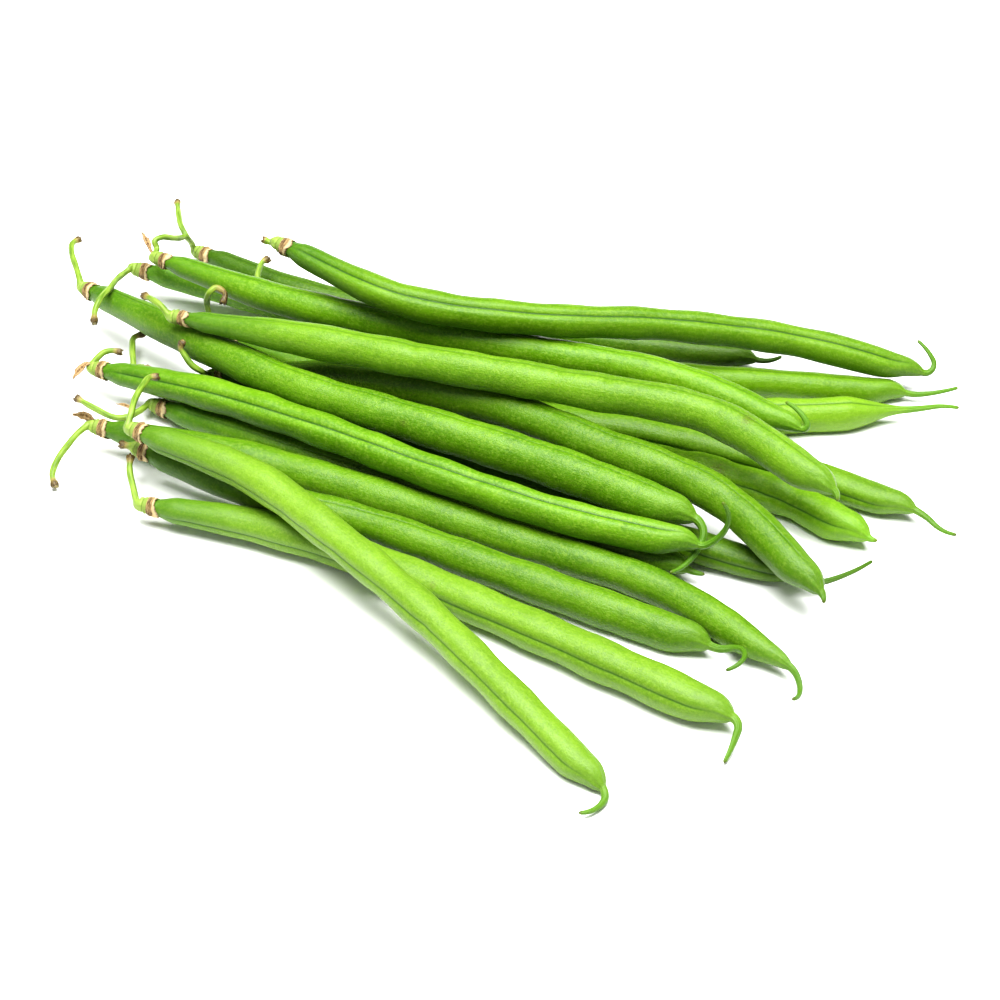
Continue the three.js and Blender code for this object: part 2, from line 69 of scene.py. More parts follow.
# Each bean, from the back and bottom of the heap to its front and top, in millimetres and degrees.
# neck and tip: where the pod's centreline starts and ends.
# bow: how far the centreline lies to the left of the straight line from neck to tip, at each fifth.
# arch: how far its middle rises over that line.
# girth: the pod's thickness at the neck, in the middle and toward the tip.
# seam: where the pod's seam lies, turned up from its left side.
# beak: the thin end past the tip, as curls of a length that turn by an angle toward a side.
# stalk: where the stalk runs, measured from the neck.
COLUMNS = ("name", "neck", "tip", "bow", "arch", "girth", "seam", "beak", "stalk")
BEAN_ROWS = [
    ("01", [-74.5, 89.5, 3.2], [60, 48, 3], [-7, -7.5, -5, -3], 0, [5.5, 6.8, 6.6], 90,
     [[6.5, 40, 20]], [[-3.5, 1, 3], [-4, -4, 9], [-5.5, -1, 10], [-6.5, 4, 9.5], [-7.5, 11, 8.5]]),
    ("02", [-88, 76, 8.5], [22, 48, 3.2], [0, -1.5, -1, 0], -2, [5.5, 7, 7], 90, [[4, 20, 0]],
     [[-4, -2.5, 2], [-5.5, -9.5, 5], [-6.5, -16.8, 7.5], [-8, -22.4, 8.7], [-9, -25.2, 7.5],
     [-9, -28, 6]]),
    ("03", [-57.5, 65, 11.5], [94.5, 36.5, 2.2], [-10, -11, -8.5, -4], 0, [5.5, 6.8, 6.8], 85,
     [[4, 10, 55], [9, 20, -10]], [[-2.5, 4, -0.8], [-2.5, 6.9, -0.4], [-1.5, 11, 0], [0, 12, 0]]),
    ("04", [-36, 44.5, 4.8], [92.5, 29, 3.7], [-3.5, -6, -7.5, -5.5], 0, [5.5, 8.2, 8.2], 100,
     [[7.5, 5, 60], [6.5, 20, -135]], [[-7, 1.5, 0]]),
    ("05", [-64, 53, 5.5], [92, -6, 3.5], [-5, -2.5, 3, 3.5], 0, [5.5, 7.7, 7.7], 165,
     [[5, 30, -165], [7, 35, 50]], [[-4.5, 4, 1], [-6.5, 3, 4.5], [-7, 2.9, 9], [-6, 2.2, 12.7],
     [-4.5, 3.2, 13.2], [-2.5, 2.2, 12.2], [-3, 0.4, 10.5]]),
    ("06", [-32, 27.5, 5.1], [80.5, -15.5, 3.9], [1.3, 4, 7.5, 7], 0, [5.5, 8.2, 8.6], 150,
     [[2.5, 30, 55]], [[-7, 2.5, 0]]),
    ("07", [-85, 42.5, 3.5], [66, -28.5, 3.5], [-1.5, 0.8, 1.5, 0], 0, [5.5, 7.5, 7.5], 162,
     [[5, 45, 5], [12, 25, -15]], [[-2, 1.5, 0.5], [-3.5, 4, 1], [-4, 8, 1.5], [-4, 12, 1.5],
     [-1.5, 13.5, 1.5]]),
    ("08", [-67, 39.5, 5.5], [67.5, -39, 9.9], [8, 13, 12.5, 12.5], 7.9, [5.7, 8.6, 8.6], 85,
     [[3, 50, -170]], [[-2, -2, 2], [-4, -4.4, 5], [-6, -4.6, 7], [-7.5, -3.6, 8.8],
     [-8.5, -2.8, 10.5], [-8, -1.8, 12]]),
    ("09", [-80, 30, 3.5], [40, -25.5, 3.5], [-0.5, -0.5, 0, 0.5], 0, [5.5, 7.5, 7.5], 120,
     [[4, 20, 0]], [[-3, -0.5, 0.5], [-5.5, -2.5, 1], [-8, -4.5, 1], [-11, -4.5, 1],
     [-15.5, -2, 1.5], [-20.5, 1.5, 2]]),
    ("10", [-100, 65.5, 10.5], [41.5, -18, 11.9], [-5.5, -9.2, -6.3, -2.5], 4, [5.9, 8.4, 9.5], 85,
     [[5, 85, -145], [12.5, 60, 125]], [[-3, 3.5, 0.5], [-4.5, 8.5, 1], [-6, 13.5, 1],
     [-6.5, 18.5, 0.5], [-5, 21, 0]]),
    ("11", [-92.5, 18.5, 7.1], [60, -55.5, 3.9], [5.5, 8, 9, 9.5], 0, [5.5, 8.2, 7.7], 90,
     [[3, 35, -130], [8, 95, 145]], [[-3, 0, 0.5], [-5.5, -1.5, 0], [-8, -4.5, -1.5],
     [-10, -7.5, -3], [-11, -11, -4.5], [-10, -14, -5.5]]),
    ("12", [-82, 9.4, 7.9], [43.5, -49, 3.4], [-1, 1.5, 1, 0.5], 0, [5.9, 7.7, 8.4], 95,
     [[4.5, 30, 55], [12.5, 175, 170]], [[-6, 2, 0.5]]),
    ("13", [-79, -6.5, 5.4], [47, -71, 4.4], [6, 7, 5, 2.5], 0, [5.7, 8.2, 9.5], 187,
     [[3.5, 80, -155], [7.5, 10, 155]], [[-2.5, 1.5, 0.5], [-5, 6, 1], [-6, 10, 2],
     [-6, 13.5, 3.5]]),
    ("14", [-94.5, 38.5, 7.9], [42, -25.5, 10.9], [0, -2.5, -5.5, -5.5], 4, [5.7, 8.2, 7.7], 140,
     [[2, 40, 72], [15.5, 90, 96]], [[-2, 3.5, 1], [-0.5, 4.5, 1.5], [1.5, 5.5, 1.5], [4, 5.5, 1]]),
    ("15", [-82, 70, 16.2], [67.5, 14.5, 10.1], [-5, -4, -0.5, 4], 3, [5, 7.5, 7.5], 85,
     [[3, 140, 55], [7, 40, -55]], [[-2.5, 5, 0], [-3, 6, 1.5], [-1.5, 7.5, 1.5], [1, 10.5, -1],
     [2.5, 14, -3.5]]),
    ("16", [-51.5, 59, 28.6], [98.5, 40, 5.7], [-14, -13, -5.5, -0.5], 4, [5.7, 8, 7.7], 111,
     [[5.5, 130, 40], [6, 30, -70]], [[-3.5, 3.5, -1.5], [-6, 4.5, -1]]),
    ("17", [-75, 42, 20.7], [71.5, -17.7, 19.8], [1, 3, 7, 11], 4, [4.5, 8.2, 8.6], 85,
     [[2.5, 70, -150]], [[-2.5, 1, 1], [-5.5, 3, 1.5], [-8, 5.5, 1.5], [-10, 7.5, 1]]),
    ("18", [-82, 7, 15.7], [19.5, -88, 1.4], [7.5, 7.5, 6, 3], 3, [5.9, 8.2, 8.2], 183,
     [[3.5, 70, 175], [6.5, 55, 170]], [[-1.5, 1, 1], [-2.5, 4.5, 2], [-2, 9, 2.5], [-0.5, 14, 2.5],
     [0.5, 17, 2], [2.5, 18, 1.5]]),
]
BEANS = {row[0]: dict(zip(COLUMNS, row)) for row in BEAN_ROWS}

# How each pod looks: how deep the crease along its seam is, which also sets how strong the painted
# shade on its seam line is; how light it is beside the rest, partly its own tone and partly painted
# light and shade for the light it gets in the heap; and how much yellower.
LOOKS = {
    "01": (0.10, 0.62, 0.1), "02": (0.10, 1.30, 0.0), "03": (0.12, 1.05, 0.6),
    "04": (0.28, 1.22, 0.6), "05": (0.30, 0.90, 0.1), "06": (0.40, 1.40, 0.5),
    "07": (0.45, 0.65, 0.2), "08": (0.10, 0.85, 0.1), "09": (0.10, 1.00, -0.2),
    "10": (0.10, 0.95, 0.0), "11": (0.05, 0.88, 0.0), "12": (0.10, 0.88, 0.1),
    "13": (0.35, 0.98, 0.0), "14": (0.50, 1.06, 0.0), "15": (0.14, 1.12, 0.2),
    "16": (0.55, 0.97, 0.4), "17": (0.12, 1.02, 0.2), "18": (0.30, 1.00, 0.0),
}

# How much paler some pods are, and the degrees by which some seams have turned at neck and tip.
PALE = {"04": 0.3, "05": 0.1, "13": 0.3, "17": 0.1, "18": 0.35}
TWISTS = {
    "11": (-30, -30), "12": (20, -30), "13": (-5, -35), "14": (-5, -40), "16": (8, 4),
    "18": (0, -33),
}

# Small dents across the seam: how far from the neck, and how deep.
DENTS = {
    "17": [(58, 0.35), (92, 0.3), (103, 0.4)],
    "08": [(70, 0.25), (118, 0.2)],
    "15": [(60, 0.2), (105, 0.25)],
    "18": [(50, 0.2), (88, 0.25)],
}

# Brown marks on the skin: how far from the neck, turned up from the left side, and how wide.
MARKS = {
    "17": [(136, 95, 1.3)],
    "06": [(84, 120, 1.6)],
    "10": [(96, 150, 0.8)],
    "13": [(70, 130, 0.7)],
}

# Dry flakes that are left on four of the stalks, measured from the bean's neck.
FLAKES = [
    dict(bean="15", route=[[-3.8, 2.9, 1.2], [-4.9, 4.5, 2.8], [-6, 6.5, 4]], width=2),
    dict(bean="14", route=[[-3.6, 1.5, 1], [-5.4, 0.3, 0], [-7.2, -1.5, -1.5]], width=2.2),
    dict(bean="11", route=[[-2.6, 1.4, 1.7], [-4.4, 2, 2.5], [-7, 1.4, 3]], width=2.4),
    dict(bean="09", route=[[-6.7, -2.7, 2.1], [-8.4, -2.3, 2.7], [-10.5, -2, 3]], width=0.9),
]

# The stalk of this bean branches off the stalk of the other, as both pods grew on one stem.
BRANCH = dict(start="15", onto="01", joint=2)

# How many times as far as the rest some beans' stalks are dried at the cut.
DRIED = {"05": 2.6, "07": 1.4, "16": 0.4}

# How blunt the end of each pod is, where it isn't the usual: 0 draws it out long, 1 rounds it.
BLUNT = {"03": 0.95, "04": 0.1, "07": 0.5, "11": 0.5, "13": 0.8, "15": 0.7, "16": 0.7}
USUAL_BLUNT = 0.9

# The pod's form, as its frame node has it, in millimetres, degrees and shares of its length.
NECK_END = 0.62
NECK_LENGTH = 6
SHOULDER = 0.22
FAR_GIRTH = (0.35, 0.8)
TIP_START = 0.93
TIP_DRAW = 0.04
TIP_CURVE = 0.75
TIP_THICKNESS = 0.23
TIP_LEAN = 0.9
TIP_LEAN_TURN = 48
TIP_LEAN_PLACE = 3
TIP_LEAN_SPREAD = 3.5
BEAK_END_RADIUS = 0.4
BEAK_TAPER = 0.8
SEED_PITCH = 16
SEED_SWELL = 0.025
SEEDS_BEGIN = (0.08, 0.2)
SEEDS_END = (0.8, 0.92)
SECTION_DEPTH = 0.03
CENTRE_SHIFT = np.array([0.1, -2.8, 0])

# The finer forms of a pod, which only the scene has, in millimetres and shares.
POD_SEED = 100
BEAK_PITCH = 0.3
BEAK_RINGS = 10
BEAK_ROUNDING = 0.7
SEAM_GATHER = 0.72
TWIST_REACH = (0.1, 0.8)
FULL_FROM_NECK = 9
# How far seeds swell a pod, where it isn't the usual.
SWOLLEN = {"06": 1.4}
USUAL_SWELL = 0.4
SEED_BUMP = 0.04
SKIN_WAVE = 0.03
LONG_WAVE = 23
SHORT_WAVE = 7
CREASE_WIDTH = 0.95
CREASE_CHANGE = 0.25
CREASE_WAVE = 30
DENT_LENGTH = 1.3
DENT_PLACE = 0.6
DENT_WIDTH = 1.5
RIBS = 9
NECK_RIB = 0.025
TIP_RIB = 0.05
TIP_RIB_LENGTH = 6
SEAM_LINE = 0.24
GRAIN_GAP = 40

# Low ridges and grooves along each seam: how high, how far from its middle, and how wide.
SEAM_RIDGES = [(-0.05, 0, 0.22), (0.03, 0.5, 0.35)]
BACK_RIDGE = (0.08, 0.55)

# The collar and the stalk, as their frame nodes have them.
CALYX_LENGTH = 1.9
CALYX_CUP = 0.9
CLEARANCE = 0.32
STALK_STRAIGHT = 1.2
STALK_ROOT_LENGTH = 3.2

# The collar's paper from inside its cup, over the rim and back to the knob: how far back it lies,
# how far out from the neck's skin, and how loose it is.
COLLAR_SEED = 300
COLLAR_SIDES = 48
COLLAR_INSIDE = 4
COLLAR_PAPER = [
    (1.1, -0.1, 0), (0.7, 0.02, 0), (0.25, 0.06, 0.3), (-0.1, 0.08, 1), (-0.2, 0.16, 1),
    (-0.1, 0.26, 1), (0.15, 0.24, 0.7), (0.4, 0.34, 0.35), (0.55, 0.3, 0.2), (0.75, 0.38, 0.1),
    (0.95, 0.32, 0), (1.15, 0.38, 0), (1.35, 0.28, 0), (1.5, 0.32, 0), (1.7, 0.18, 0),
    (1.95, 0.12, 0), (2.25, -0.05, 0),
]
# The middle of the cup's floor, and the knob behind the paper: how far back, and how thick.
CUP_FLOOR = (1.1, 0.3)
KNOB = [(2.55, 1.95), (2.85, 1.72), (3.08, 1.55), (3.08, 0.4)]
# Where the paper is creased all round, how deep, how wide, and how wide its dark line is, which is
# partly brown paper and partly painted shade in the crease.
PAPER_FOLDS = [(0.75, 0.12, 0.16, 0.2), (1.35, 0.1, 0.14, 0.18)]
PAPER_END = (1.45, 2.3)
# Any pod's length without and with its beak, where only its neck is wanted.
ANY_LENGTHS = (100, 110)

STALK_SEED = 400
STALK_SIDES = 20
STALK_PITCH = 0.28
STALK_RINGS = 14
STALK_RADIUS = 0.74
ROOT_FLARE = 0.84
# Where the inner rings of a stalk's cut face lie, as shares of its radius.
CUT_RINGS = (0.8, 0.45)
# Beyond all dried skin.
NO_CUT = 30
JOINT_RADIUS = 1.3
JOINT_RINGS = 14

FLAKE_SEED = 500
FLAKE_RINGS = 40
FLAKE_SIDES = 32

ROUTE_STEPS = 30
CURL_STEPS = 24
WAVES = 3
UP = np.array([0.0, 0.0, 1.0])

# The studio, in metres. The heap's middle lies a little below and to the right of the
# photograph's centre.
CAMERA_OFFSET = (-0.00114, 0.00076, 0.00084)
SENSOR_WIDTH = 36.0
FLOOR_DROP = 0.0001
KEY_PLACE, KEY_SIDE = (0.0, -0.04, 0.8), 0.65
FILL_PLACE, FILL_SIDE = (-0.5, -0.6, 0.6), 0.6


def unit(values):
    """The values as directions of length one."""
    return values / np.linalg.norm(values, axis=-1, keepdims=True)


def ease(start, end, value):
    """A smooth step from 0 at start to 1 at end."""
    share = np.clip((value - start) / (end - start), 0, 1)
    return share * share * (3 - 2 * share)


def bell(value, width):
    """A smooth bump of height one round zero."""
    return np.exp(-((value / width) ** 2))


def around(sides):
    """Angles that go once round a piece."""
    return np.linspace(0, 2 * math.pi, sides, endpoint=False)


def waves(rng, value, pitch):
    """A smooth seeded ripple between about -1 and 1."""
    total = 0
    for _ in range(WAVES):
        length = pitch * rng.uniform(0.7, 1.5)
        total = total + np.sin(2 * math.pi * value / length + rng.uniform(0, 2 * math.pi))
    return total / WAVES


def ripple(rng, turn, times, along=0.0, start=6):
    """A ripple that goes round a piece, from a seeded start."""
    return np.sin(times * turn + along + rng.uniform(0, start))


def smooth_route(points):
    """A centripetal Catmull-Rom curve through the points."""
    points = np.array(points, float)
    ends = [2 * points[0] - points[1], *points, 2 * points[-1] - points[-2]]
    made = [points[0]]
    for p0, p1, p2, p3 in zip(ends, ends[1:], ends[2:], ends[3:]):
        pairs = ((p0, p1), (p1, p2), (p2, p3))
        gap0, gap1, gap2 = (math.sqrt(np.linalg.norm(b - a)) for a, b in pairs)
        out = ((p1 - p0) / gap0 - (p2 - p0) / (gap0 + gap1) + (p2 - p1) / gap1) * gap1
        into = ((p2 - p1) / gap1 - (p3 - p1) / (gap1 + gap2) + (p3 - p2) / gap2) * gap1
        for step in range(1, ROUTE_STEPS + 1):
            t = step / ROUTE_STEPS
            bend = (2 * p1 - 2 * p2 + out + into) * t + (3 * p2 - 3 * p1 - 2 * out - into)
            made.append(p1 + t * (out + t * bend))
    return np.array(made)


class Route:
    """A chain of points, with how far along each is and the side that stays left."""

    def __init__(self, points):
        self.points = np.array(points, float)
        gaps = np.linalg.norm(np.diff(self.points, axis=0), axis=1)
        self.run = np.concatenate([[0], np.cumsum(gaps)])
        self.length = self.run[-1]
        ahead = np.vstack([self.points[1:], self.points[-1:]])
        behind = np.vstack([self.points[:1], self.points[:-1]])
        self.directions = unit(ahead - behind)
        lefts = [unit(np.cross(UP, self.directions[0]))]
        for direction in self.directions[1:]:
            left = lefts[-1] - direction * np.dot(lefts[-1], direction)
            lefts.append(unit(left))
        self.lefts = np.array(lefts)

    def at(self, distances):
        """The points, directions, left sides and upper sides at these distances."""
        inside = np.clip(distances, 0, self.length)

        def between(values):
            return np.stack([np.interp(inside, self.run, values[:, k]) for k in range(3)], axis=1)

        directions = unit(between(self.directions))
        lefts = between(self.lefts)
        lefts = unit(lefts - directions * np.sum(lefts * directions, axis=1, keepdims=True))
        overs = np.cross(directions, lefts)
        points = between(self.points) + directions * (distances - inside)[:, None]
        return points, directions, lefts, overs


def curl(start, direction, leg):
    """The points of one curl of a beak, and the direction in which it ends."""
    length, turn, toward = leg
    left = unit(np.cross(UP, direction))
    over = np.cross(direction, left)
    side = left * math.cos(math.radians(toward)) + over * math.sin(math.radians(toward))
    bend = math.radians(turn)
    points = []
    last = start
    for step in range(CURL_STEPS):
        now = bend * (step + 0.5) / CURL_STEPS
        last = last + (direction * math.cos(now) + side * math.sin(now)) * length / CURL_STEPS
        points.append(last)
    return points, direction * math.cos(bend) + side * math.sin(bend)


def pod_route(bean):
    """The pod's whole centreline, and how much of it is the body before the beak."""
    neck, tip = np.array(bean["neck"], float), np.array(bean["tip"], float)
    along = unit((tip - neck) * [1, 1, 0])
    left = np.array([-along[1], along[0], 0])
    bows = [0, *bean["bow"], 0]
    shares = np.linspace(0, 1, len(bows))
    points = neck + shares[:, None] * (tip - neck) + np.array(bows)[:, None] * left
    points[:, 2] += 4 * bean["arch"] * shares * (1 - shares)
    points = list(smooth_route(points))
    body_length = Route(points).length
    direction = unit(points[-1] - points[-2])
    for leg in bean["beak"]:
        made, direction = curl(points[-1], direction, leg)
        points += made
    return Route(points), body_length


def pod_radius(bean, distance, body_length, whole_length):
    """The pod's radius at these distances from its neck."""
    neck, middle, far = (thickness / 2 for thickness in bean["girth"])
    share = distance / body_length
    radius = neck * (NECK_END + (1 - NECK_END) * ease(0, NECK_LENGTH, distance))
    radius = radius + (middle - neck) * ease(0, SHOULDER, share)
    radius = radius + (far - middle) * ease(*FAR_GIRTH, share)
    tip_radius = far * TIP_THICKNESS
    blunt = BLUNT.get(bean["name"], USUAL_BLUNT)
    past = np.clip((share - TIP_START) / (1 - TIP_START), 0, 1)
    rounded = 1 - (1 - past ** 2) ** TIP_CURVE
    taper = blunt * rounded + (1 - blunt) * ease(TIP_START - TIP_DRAW, 1, share)
    radius = radius + (tip_radius - radius) * taper
    seeds = ease(*SEEDS_BEGIN, share) * (1 - ease(*SEEDS_END, share))
    beat = np.cos(2 * math.pi * distance / SEED_PITCH + float(bean["name"]))
    radius = radius * (1 + seeds * SEED_SWELL * beat)
    past = np.clip((distance - body_length) / (whole_length - body_length), 0, 1)
    beak = tip_radius + (BEAK_END_RADIUS - tip_radius) * past ** BEAK_TAPER
    return np.where(share > 1, beak, radius)


def neck_route(bean, length):
    """A route that starts in the neck and runs back, away from the pod."""
    route, _ = pod_route(bean)
    points, directions, _, _ = route.at(np.array([0.0]))
    point, back = points[0], -directions[0]
    return Route([point - back * CALYX_CUP, point, point + back * length])


def stalk_route(bean, tail=()):
    """The stalk's centreline: straight out of the collar, then along its points."""
    start = CALYX_CUP + CALYX_LENGTH + CLEARANCE
    back, _, _, _ = neck_route(bean, 2 * start).at(np.array([start, start + STALK_STRAIGHT]))
    reach = CALYX_LENGTH + CLEARANCE + 2 * STALK_STRAIGHT
    steps = [np.array(step, float) for step in bean["stalk"]]
    points = [step + bean["neck"] for step in steps if np.linalg.norm(step) > reach]
    return Route(smooth_route([*back, *points, *tail]))


def lay(route, distances, left, up, ahead=None):
    """Rings of points laid along a route, with a row of reaches for each distance."""
    points, directions, lefts, overs = route.at(distances)
    rings = points[:, None] + left[..., None] * lefts[:, None] + up[..., None] * overs[:, None]
    if ahead is not None:
        rings = rings + ahead[..., None] * directions[:, None]
    rings[..., 2] = np.maximum(rings[..., 2], 0)
    return rings


def unrolled(far, reach, turn):
    """Where the points would lie on a straight piece, so that grain follows its bends."""
    flat = np.ones_like(reach)
    return np.stack([far * flat, reach * np.cos(turn), reach * np.sin(turn)], axis=-1)


def tube_mesh(name, rings, values):
    """A closed mesh of rings with a point at each end, and named values for its points."""
    count, sides = rings.shape[:2]
    ends = np.stack([rings[0].mean(axis=0), rings[-1].mean(axis=0)])
    places = (np.vstack([rings.reshape(-1, 3), ends]) + CENTRE_SHIFT) * MM
    index = np.arange(count * sides).reshape(count, sides)
    turned = np.roll(index, -1, axis=1)
    quads = np.stack([index[:-1], turned[:-1], turned[1:], index[1:]], axis=-1).reshape(-1, 4)
    first, last = count * sides, count * sides + 1
    start_fan = np.stack([np.full(sides, first), turned[0], index[0]], axis=-1)
    end_fan = np.stack([np.full(sides, last), index[-1], turned[-1]], axis=-1)
    faces = [*quads.tolist(), *start_fan.tolist(), *end_fan.tolist()]
    mesh = bpy.data.meshes.new(name)
    mesh.from_pydata(places.tolist(), [], faces)
    mesh.shade_smooth()
    for key, value in values.items():
        flat = np.broadcast_to(value, (count, sides) + np.shape(value)[2:])
        flat = flat.reshape(count * sides, -1)
        flat = np.vstack([flat, flat[:sides].mean(axis=0), flat[-sides:].mean(axis=0)])
        store(mesh, key, flat)
    return mesh


def store(mesh, key, values):
    """Keeps a number or a vector for each point of the mesh."""
    wide = values.shape[1] == 3
    kept = mesh.attributes.new(key, "FLOAT_VECTOR" if wide else "FLOAT", "POINT")
    flat = np.ascontiguousarray(values, np.float32).ravel()
    kept.data.foreach_set("vector" if wide else "value", flat)


def add_piece(name, mesh, material, node):
    """Puts the mesh in the scene as a piece that stands for its node, inside the frame's box."""
    flat = np.empty(3 * len(mesh.vertices), np.float32)
    mesh.vertices.foreach_get("co", flat)
    places = np.clip(flat.reshape(-1, 3), *CAD_BOX)
    mesh.vertices.foreach_set("co", places.astype(np.float32).ravel())
    mesh.update()
    mesh.materials.append(material)
    piece = bpy.data.objects.new(name, mesh)
    bpy.context.scene.collection.objects.link(piece)
    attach(piece, "root")
    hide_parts(node)


def pod_mesh(bean, settings):
    """One pod: the neck, the swollen body with its seams and dents, and the curled beak."""
    name = bean["name"]
    deepest, light, warm = LOOKS[name]
    rng = np.random.default_rng(POD_SEED + int(name))
    route, body_length = pod_route(bean)
    pitch = settings.ring_pitch / MM
    body = np.linspace(0, body_length, int(body_length / pitch) + 1)
    beak_rings = max(BEAK_RINGS, int((route.length - body_length) / BEAK_PITCH))
    beak = np.linspace(body_length, route.length, beak_rings)[1:]
    distances = np.concatenate([body, beak])
    radius = pod_radius(bean, distances, body_length, route.length)
    rounding = 1 - np.clip((route.length - distances) / BEAK_ROUNDING, 0, 1)
    radius = (radius * np.sqrt(1 - 0.98 * rounding ** 2))[:, None]
    close = np.linspace(-math.pi, math.pi, settings.sides, endpoint=False)
    away = close - SEAM_GATHER * np.sin(close)
    at_neck, at_tip = TWISTS.get(name, (0, 0))
    twist = at_neck + (at_tip - at_neck) * ease(*TWIST_REACH, distances / body_length)
    turn = np.radians(bean["seam"] + twist)[:, None] + away
    far = distances[:, None]
    arc = np.abs(away) * radius
    back_arc = (math.pi - np.abs(away)) * radius
    full = ease(0, FULL_FROM_NECK, far) * (1 - ease(TIP_START * body_length, body_length, far))

    reach = radius * (1 + SECTION_DEPTH * np.cos(2 * away))
    swell = SWOLLEN.get(name, USUAL_SWELL) * settings.swell * radius
    seeds = np.cos(2 * math.pi * far / SEED_PITCH + float(name)) * np.sin(away) ** 2
    long_waves = waves(rng, far + 3 * np.cos(turn), LONG_WAVE)
    reach = reach + full * swell * (SEED_BUMP * seeds + SKIN_WAVE * long_waves)
    reach = reach + full * swell * SKIN_WAVE * waves(rng, far - 4 * np.sin(turn), SHORT_WAVE)
    crease = deepest * settings.crease * (1 + CREASE_CHANGE * waves(rng, far, CREASE_WAVE))
    reach = reach - full * crease * bell(arc, CREASE_WIDTH)
    for height, place, width in SEAM_RIDGES:
        reach = reach + full * height * bell(arc - place, width)
    height, width = BACK_RIDGE
    reach = reach + full * height * bell(back_arc, width)
    for place, depth in DENTS.get(name, []):
        reach = reach - depth * bell(far - place, DENT_LENGTH) * bell(arc - DENT_PLACE, DENT_WIDTH)
    ribs = np.cos(RIBS * away + rng.uniform(0, 6))
    reach = reach + NECK_RIB * ribs * (1 - ease(2, 12, far)) * ease(0, 1.5, far)
    reach = reach + TIP_RIB * ribs * radius * ease(body_length - TIP_RIB_LENGTH, body_length, far)

    lean = TIP_LEAN * BLUNT.get(name, USUAL_BLUNT)
    lean = lean * bell(far - body_length + TIP_LEAN_PLACE, TIP_LEAN_SPREAD)
    lean_turn = math.radians(TIP_LEAN_TURN)
    left = reach * np.cos(turn) + lean * math.cos(lean_turn)
    up = reach * np.sin(turn) + lean * math.sin(lean_turn)
    mark = np.zeros_like(reach)
    for place, toward, wide in MARKS.get(name, []):
        across = np.angle(np.exp(1j * (turn - math.radians(toward)))) * radius
        mark = np.maximum(mark, bell(np.hypot(far - place, across), wide))
    values = {
        "straight": unrolled(far, reach, away) + [0, GRAIN_GAP * int(name), 0],
        "to_tip": body_length - far,
        "to_end": route.length - far,
        # The seam's dark line, stronger where the crease is deeper: partly the seam's own colour,
        # partly painted shade in the crease.
        "seam": bell(arc, SEAM_LINE) * full * min(1, 0.25 + 1.6 * deepest),
        "pale": PALE.get(name, 0.0),
        "mark": mark,
        # Each pod's lightness: partly its own tone, partly painted light and shade.
        "light": light,
        "warm": warm,
    }
    return tube_mesh(f"pod_{name}", lay(route, distances, left, up), values)


def collar_mesh(bean, settings):
    """The dry papery ring round a neck, ragged at its rim, and the green knob behind it."""
    rng = np.random.default_rng(COLLAR_SEED + int(bean["name"]))
    turn = around(COLLAR_SIDES)
    neck = pod_radius(bean, np.array([CALYX_CUP]), *ANY_LENGTHS)[0] * (1 + SECTION_DEPTH)
    profile = [(*CUP_FLOOR, 0)]
    profile += [(place, neck + out, slack) for place, out, slack in COLLAR_PAPER]
    profile += [(place, size, 0) for place, size in KNOB]
    far, radius, loose = np.array(profile).T[:, :, None]
    lobes = np.abs(ripple(rng, turn, 1.5, start=3)) ** 3 * (0.5 + 0.5 * ripple(rng, turn, 1))
    ragged = 0.2 * ripple(rng, turn, 2) + 0.14 * ripple(rng, turn, 5)
    ragged = ragged + 0.1 * ripple(rng, turn, 11) + rng.normal(0, 0.06, len(turn)) - 1.3 * lobes
    dry = 1 - ease(*PAPER_END, far)
    fold = far + 0.25 * ripple(rng, turn, 2)
    crumple = 0.1 * ripple(rng, turn, 3, 1.5 * far)
    crumple = crumple + 0.06 * ripple(rng, turn, 8, -2 * far)
    # Dark lines along the creases: partly brown paper, partly painted shade.
    fold_brown_and_shade = 0.0
    for place, depth, wide, dark_wide in PAPER_FOLDS:
        crumple = crumple - depth * bell(fold - place, wide)
        fold_brown_and_shade = np.maximum(fold_brown_and_shade, bell(fold - place, dark_wide))
    outer = (np.arange(len(profile)) >= COLLAR_INSIDE)[:, None]
    reach = radius + crumple * dry * outer * np.minimum(radius, 1)
    reach = reach + 0.1 * loose * ripple(rng, turn, 3)
    shift = loose * ragged * settings.ragged
    on_pod = np.maximum(CALYX_CUP - far - shift, 0)
    over_pod = pod_radius(bean, on_pod, *ANY_LENGTHS) * (1 + SECTION_DEPTH) + 0.1 * outer
    reach = np.maximum(reach, np.where(loose > 0, over_pod, 0))
    route = neck_route(bean, CALYX_LENGTH + 2)
    rings = lay(route, far[:, 0], reach * np.cos(turn), reach * np.sin(turn), shift)
    values = {
        "straight": unrolled(far, np.full_like(reach, 3), turn),
        "rim": loose,
        "dry": dry,
        "fold": fold_brown_and_shade,
    }
    return tube_mesh(f"collar_{bean['name']}", rings, values)


